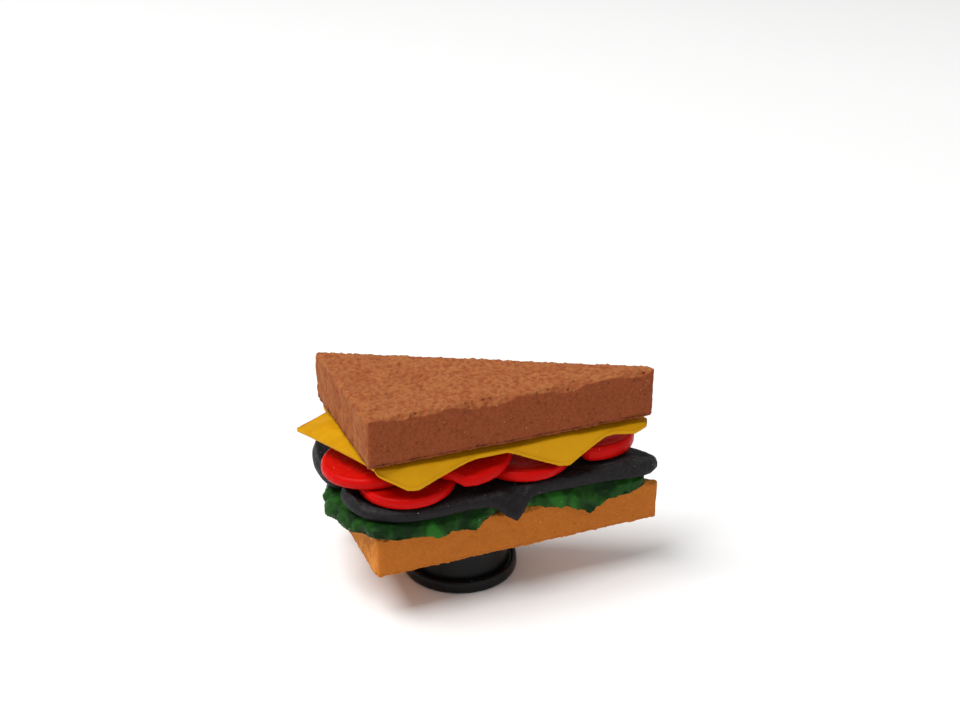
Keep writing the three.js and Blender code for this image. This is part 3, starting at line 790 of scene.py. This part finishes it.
class SANDWICH_OT_stud(bpy.types.Operator):
    """Turn the stud on its axis"""
    bl_idname = "sandwich.stud"
    bl_label = "Stud"

    def execute(self, context):
        settings = context.scene.sandwich_stud
        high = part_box("stud")[1] * TO_MM
        flange, height = high.x, high.z
        neck = flange - NECK_INSET
        corners = [
            (0, 0.12), (4.2, 0.12), (4.45, 0.0), (flange - 0.35, 0.0), (flange - 0.08, 0.1),
            (flange, 0.36), (flange, 1.02), (flange - 0.06, 1.28), (flange - 0.22, 1.38),
            (flange - 0.4, 1.36), (flange - 0.5, 1.2), (flange - 0.56, 1.0), (neck + 0.16, 0.95),
            (neck + 0.04, 1.05), (neck, 1.3), (neck - 0.03, 3.6), (neck, height - 0.02), (0, height - 0.02)]
        middle = flange - PROFILE_INSET
        mesh = bpy.data.meshes.new("stud_profile")
        mesh.from_pydata([(r - middle, -z, 0.0) for r, z in corners],
                         [(i, i + 1) for i in range(len(corners) - 1)], [])
        obj = bpy.data.objects.new("stud_turned", mesh)
        context.scene.collection.objects.link(obj)
        run_tree(obj, lathe_tree(), {
            "Circle Radius": middle, "Steps": float(settings.steps), "Unevenness": 0.05,
            "Material": stud_material("stud_plastic", settings.colour)})
        bm = bmesh.new()
        bm.from_mesh(obj.data)
        bmesh.ops.recalc_face_normals(bm, faces=bm.faces)
        bm.to_mesh(obj.data)
        bm.free()
        finish_piece(obj, ["stud"])
        return {"FINISHED"}


class SANDWICH_OT_dust(bpy.types.Operator):
    """Scatter the pale dust specks over the finished pieces"""
    bl_idname = "sandwich.dust"
    bl_label = "Dust specks"

    def execute(self, context):
        paint = dust_material("dust")
        bm = bmesh.new()
        for obj in context.scene.objects:
            if obj.type == "MESH" and obj.get("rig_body") and not obj.get("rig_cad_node"):
                bm.from_mesh(obj.data)
        bmesh.ops.delete(bm, geom=[f for f in bm.faces if f.normal.z < -0.2], context="FACES")
        bmesh.ops.scale(bm, vec=(TO_MM,) * 3, verts=bm.verts)
        mesh = bpy.data.meshes.new("dust")
        bm.to_mesh(mesh)
        bm.free()
        obj = bpy.data.objects.new("dust_specks", mesh)
        context.scene.collection.objects.link(obj)
        run_tree(obj, scatter_tree(), {"Material": paint})
        finish_piece(obj, [])
        return {"FINISHED"}


class SANDWICH_OT_stage(bpy.types.Operator):
    """Set up the floor, the soft lights and the camera"""
    bl_idname = "sandwich.stage"
    bl_label = "Stage"

    def execute(self, context):
        settings = context.scene.sandwich_stage
        scene = context.scene
        half = FLOOR_HALF
        mesh = bpy.data.meshes.new("floor")
        mesh.from_pydata([(-half, -half, 0), (half, -half, 0), (half, half, 0), (-half, half, 0)],
                         [], [(0, 1, 2, 3)])
        mesh.materials.append(floor_material("floor", settings.floor))
        floor = bpy.data.objects.new("floor", mesh)
        scene.collection.objects.link(floor)
        world = bpy.data.worlds.new("room")
        world.use_nodes = True
        room = world.node_tree.nodes["Background"]
        room.inputs["Color"].default_value = (1.0, 0.995, 0.985, 1.0)
        room.inputs["Strength"].default_value = settings.sky
        scene.world = world
        target = (Vector(CAD_BOX[0]) + Vector(CAD_BOX[1])) / 2
        for name, place, size, share in (
                ("key", (-0.52, 0.06, 1.16), 0.7, 1.0), ("front", (0.35, -1.1, 0.5), 0.8, 0.05)):
            lamp = bpy.data.lights.new(name, "AREA")
            lamp.size = size
            lamp.energy = settings.key * share
            obj = bpy.data.objects.new(name, lamp)
            obj.location = place
            obj.rotation_euler = (target - Vector(place)).to_track_quat("-Z", "Y").to_euler()
            scene.collection.objects.link(obj)
        data = bpy.data.cameras.new("camera")
        data.lens = settings.lens
        data.sensor_width = SENSOR_WIDTH
        data.clip_start = 0.005
        camera = bpy.data.objects.new("camera", data)
        camera.location = settings.camera
        camera.rotation_euler = Euler((math.pi / 2 - settings.elevation, 0.0, settings.azimuth))
        scene.collection.objects.link(camera)
        scene.camera = camera
        scene.view_settings.view_transform = "Standard"
        return {"FINISHED"}


STEPS = (SANDWICH_OT_stage, SANDWICH_OT_stud, SANDWICH_OT_breads, SANDWICH_OT_lettuce,
         SANDWICH_OT_dark_slices, SANDWICH_OT_tomatoes, SANDWICH_OT_cheese, SANDWICH_OT_dust)
GROUPS = {"sandwich_breads": SANDWICH_PG_breads, "sandwich_fillings": SANDWICH_PG_fillings,
          "sandwich_stud": SANDWICH_PG_stud, "sandwich_stage": SANDWICH_PG_stage}


class SANDWICH_PT_panel(bpy.types.Panel):
    """The sandwich's pieces and their settings"""
    bl_idname = "SANDWICH_PT_panel"
    bl_label = "Toy Sandwich Charm"
    bl_space_type = "VIEW_3D"
    bl_region_type = "UI"
    bl_category = "Sandwich"

    def draw(self, context):
        for step in STEPS:
            self.layout.operator(step.bl_idname)
        for name, group in GROUPS.items():
            box = self.layout.box()
            for setting in group.__annotations__:
                box.prop(getattr(context.scene, name), setting)


CLASSES = (*GROUPS.values(), *STEPS, SANDWICH_PT_panel)


def register():
    for cls in CLASSES:
        bpy.utils.register_class(cls)
    for name, group in GROUPS.items():
        setattr(bpy.types.Scene, name, bpy.props.PointerProperty(type=group))


def unregister():
    for name in GROUPS:
        delattr(bpy.types.Scene, name)
    for cls in reversed(CLASSES):
        bpy.utils.unregister_class(cls)


def main():
    register()
    for step in STEPS:
        group, action = step.bl_idname.split(".")
        getattr(getattr(bpy.ops, group), action)()


if __name__ == "__main__":
    main()
